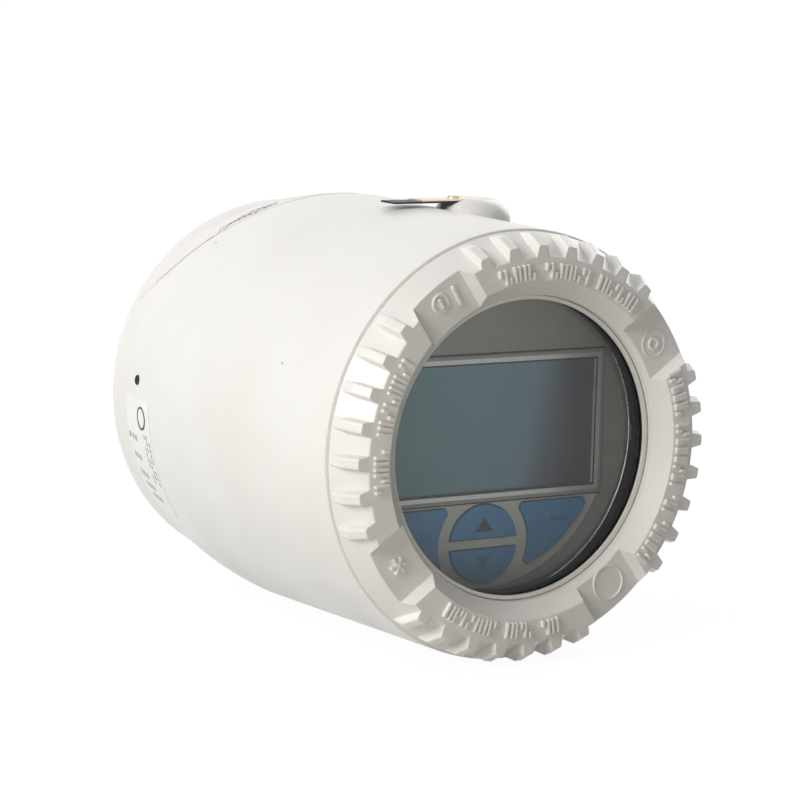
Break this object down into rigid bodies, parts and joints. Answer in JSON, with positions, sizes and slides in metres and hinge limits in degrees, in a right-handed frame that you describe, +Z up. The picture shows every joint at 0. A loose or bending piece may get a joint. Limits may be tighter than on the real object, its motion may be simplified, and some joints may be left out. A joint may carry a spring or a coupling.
{
  "type": "temperature transmitter",
  "caption": "Round cast field housing lying on its side, with a ribbed screw-on window cover, a plug-in screen with keys, wiring terminals and potted electronics inside.",
  "frame": {"origin": "middle of the flat base, under the middle of the housing's length", "axes": "+Z up, -Y out of the window, +X to the right seen from the front, where the cable entry is"},
  "size_m": [0.1199, 0.132, 0.1113],
  "materials": {
    "white_enamel": "gloss",
    "glass": "polished",
    "black_rubber": "matt",
    "cast_aluminium": "turned",
    "grey_face": "satin",
    "silver_frame": "satin",
    "lcd": "satin",
    "blue_key": "satin",
    "circuit_board": "satin",
    "black_plastic": "matt",
    "potting": "satin",
    "green_block": "satin",
    "steel": "zinc plated",
    "brass": "turned",
    "black_steel": "black oxide",
    "plate": "satin",
    "label": "satin"
  },
  "bodies": {
    "housing": {"housing": "white_enamel", "display_bezel": "grey_face", "lcd_frame": "silver_frame", "lcd_panel": "lcd", "key_switches": "steel", "display_board": "circuit_board", "display_back": "black_plastic", "display_posts": "steel", "display_socket": "black_plastic", "display_header": "black_plastic", "electronics_module": "potting", "module_screws": "steel", "terminal_block": "green_block", "block_screws": "steel", "terminal_clamps": "brass", "terminal_screws": "steel", "earth_saddle": "black_steel", "earth_clamp": "steel", "earth_screw": "brass", "nameplate": "plate", "side_label": "label", "tag_pin": "black_plastic"},
    "cover_seal": {"front_cover_seal": "black_rubber"},
    "front_cover": {"front_cover": "white_enamel", "window_seal": "black_rubber", "window_glass": "glass", "window_cushion": "black_rubber", "window_retainer": "cast_aluminium"},
    "key_up": {"key_up": "blue_key"},
    "key_down": {"key_down": "blue_key"},
    "key_left": {"key_left": "blue_key"},
    "key_right": {"key_right": "blue_key"}
  },
  "joints": [
    {"name": "cover_travel", "type": "slide", "parent": "housing", "child": "cover_seal", "axis": [0, -1, 0], "range_m": [0, 0.0121]},
    {"name": "cover_turn", "type": "hinge", "parent": "cover_seal", "child": "front_cover", "pos_m": [0, -0.066, 0.0538], "axis": [0, -1, 0], "range_deg": [0, 2160]},
    {"name": "key_up_press", "type": "slide", "parent": "housing", "child": "key_up", "axis": [0, 1, 0], "range_m": [0, 0.0006], "stiffness_N_per_m": 2500},
    {"name": "key_down_press", "type": "slide", "parent": "housing", "child": "key_down", "axis": [0, 1, 0], "range_m": [0, 0.0006], "stiffness_N_per_m": 2500},
    {"name": "key_left_press", "type": "slide", "parent": "housing", "child": "key_left", "axis": [0, 1, 0], "range_m": [0, 0.0006], "stiffness_N_per_m": 2500},
    {"name": "key_right_press", "type": "slide", "parent": "housing", "child": "key_right", "axis": [0, 1, 0], "range_m": [0, 0.0006], "stiffness_N_per_m": 2500}
  ],
  "couplings": [
    {"joint": "cover_travel", "follows": "cover_turn", "m_per_rad": 0.00031831}
  ]
}
